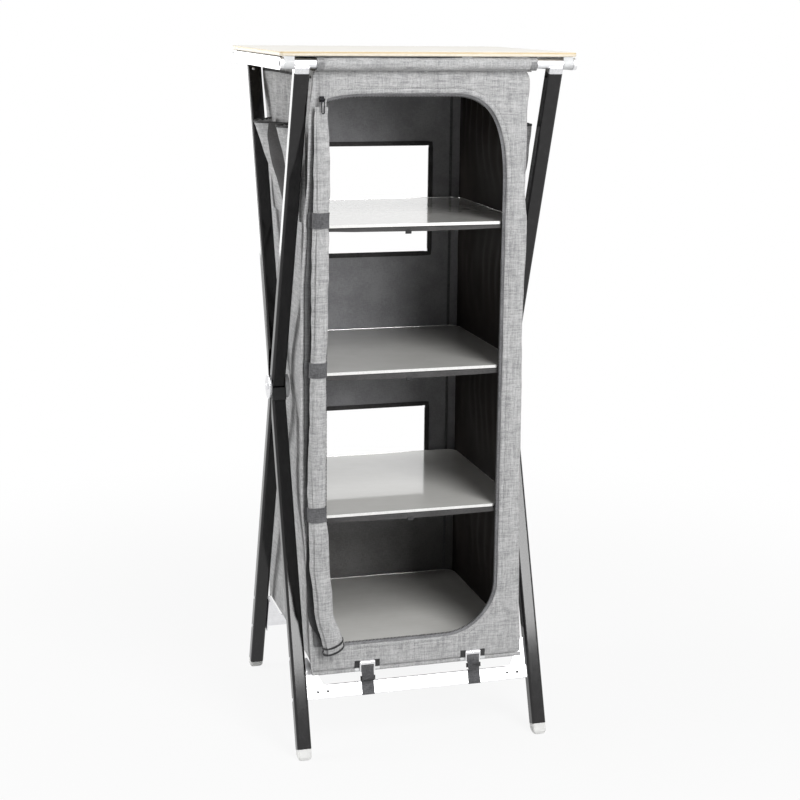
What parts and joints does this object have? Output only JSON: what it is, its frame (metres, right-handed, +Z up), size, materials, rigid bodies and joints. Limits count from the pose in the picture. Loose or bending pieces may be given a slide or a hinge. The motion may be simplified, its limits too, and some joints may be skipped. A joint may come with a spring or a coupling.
{
  "type": "camping cupboard",
  "caption": "Tall folding fabric cupboard with open shelves and a rolled-up door, hung in a black tube scissor frame under a light flat top board.",
  "frame": {"origin": "on the floor, under the middle of the four feet", "axes": "+Z up, +X to the right as seen from the door's side, -Y towards the door's side"},
  "size_m": [0.603, 0.5404, 1.435],
  "materials": {
    "board": "satin laminate",
    "silver": "satin",
    "black_tube": "satin",
    "black_plastic": "matt",
    "pale_plastic": "satin",
    "foot_plastic": "milky",
    "grey_fabric": "woven",
    "dark_fabric": "woven",
    "dark_webbing": "webbing",
    "shelf_sheet": "satin",
    "steel": "polished"
  },
  "bodies": {
    "cabinet": {"cabinet_walls": "grey_fabric", "front_panel": "grey_fabric", "back_panel": "dark_fabric", "hem_rod": "grey_fabric", "shelf_board_1": "shelf_sheet", "shelf_board_2": "shelf_sheet", "shelf_board_3": "shelf_sheet", "shelf_board_4": "shelf_sheet", "shelf_sling_1": "dark_fabric", "shelf_sling_2": "dark_fabric", "shelf_sling_3": "dark_fabric", "door_roll": "grey_fabric", "roll_tie_1": "dark_webbing", "roll_tie_2": "dark_webbing", "roll_tie_3": "dark_webbing", "zip_slider": "steel", "buckle_1": "steel", "buckle_2": "steel", "strap_1": "dark_webbing", "strap_2": "dark_webbing", "pocket_left": "grey_fabric", "pocket_right": "grey_fabric"},
    "frame_a": {"leg_a_left": "black_tube", "leg_a_right": "black_tube", "front_rail": "silver", "front_sleeve": "grey_fabric", "rail_cap_front_left": "pale_plastic", "rail_cap_front_right": "pale_plastic", "saddle_front_left": "silver", "saddle_front_right": "silver", "lower_bar_back": "silver", "bar_bracket_back_left": "silver", "bar_bracket_back_right": "silver", "foot_back_left": "foot_plastic", "foot_back_right": "foot_plastic"},
    "frame_b": {"leg_b_upper_left": "black_tube", "leg_b_upper_right": "black_tube", "leg_b_lower_left": "black_tube", "leg_b_lower_right": "black_tube", "hub_disc_left": "silver", "hub_disc_right": "silver", "hub_boss_left": "black_plastic", "hub_boss_right": "black_plastic", "hub_collar_left": "black_plastic", "hub_collar_right": "black_plastic", "back_rail": "silver", "back_sleeve": "grey_fabric", "rail_cap_back_left": "pale_plastic", "rail_cap_back_right": "pale_plastic", "saddle_back_left": "silver", "saddle_back_right": "silver", "lower_bar_front": "silver", "bar_bracket_front_left": "silver", "bar_bracket_front_right": "silver", "foot_front_left": "foot_plastic", "foot_front_right": "foot_plastic"},
    "board": {"top_board": "board"},
    "side_bar_left": {"side_bar_left": "silver"},
    "side_bar_right": {"side_bar_right": "silver"},
    "zip_pull": {"zip_pull": "black_plastic"}
  },
  "joints": [
    {"name": "fold_a", "type": "hinge", "parent": "cabinet", "child": "frame_a", "pos_m": [0, 0, 0.731], "axis": [-1, 0, 0], "range_deg": [0, 10], "deforming": ["pocket_left", "pocket_right"]},
    {"name": "fold_b", "type": "hinge", "parent": "cabinet", "child": "frame_b", "pos_m": [0, 0, 0.731], "axis": [1, 0, 0], "range_deg": [0, 10.1], "deforming": ["strap_1", "strap_2"]},
    {"name": "board_lift", "type": "slide", "parent": "cabinet", "child": "board", "axis": [0, 0, 1], "range_m": [0, 0.071]},
    {"name": "side_bar_left_drop", "type": "hinge", "parent": "frame_a", "child": "side_bar_left", "pos_m": [-0.293, -0.242, 1.412], "axis": [-1, 0, 0], "range_deg": [0, 71]},
    {"name": "side_bar_right_drop", "type": "hinge", "parent": "frame_a", "child": "side_bar_right", "pos_m": [0.293, -0.242, 1.412], "axis": [-1, 0, 0], "range_deg": [0, 71]},
    {"name": "zip_pull_swing", "type": "hinge", "parent": "cabinet", "child": "zip_pull", "pos_m": [-0.2165, -0.2491, 1.3445], "axis": [-1, 0, 0], "range_deg": [0, 150]}
  ],
  "couplings": [
    {"joint": "fold_b", "follows": "fold_a", "ratio": 1},
    {"joint": "board_lift", "follows": "fold_a", "m_per_rad": 0.4},
    {"joint": "side_bar_left_drop", "follows": "fold_a", "ratio": 7},
    {"joint": "side_bar_right_drop", "follows": "fold_a", "ratio": 7}
  ]
}
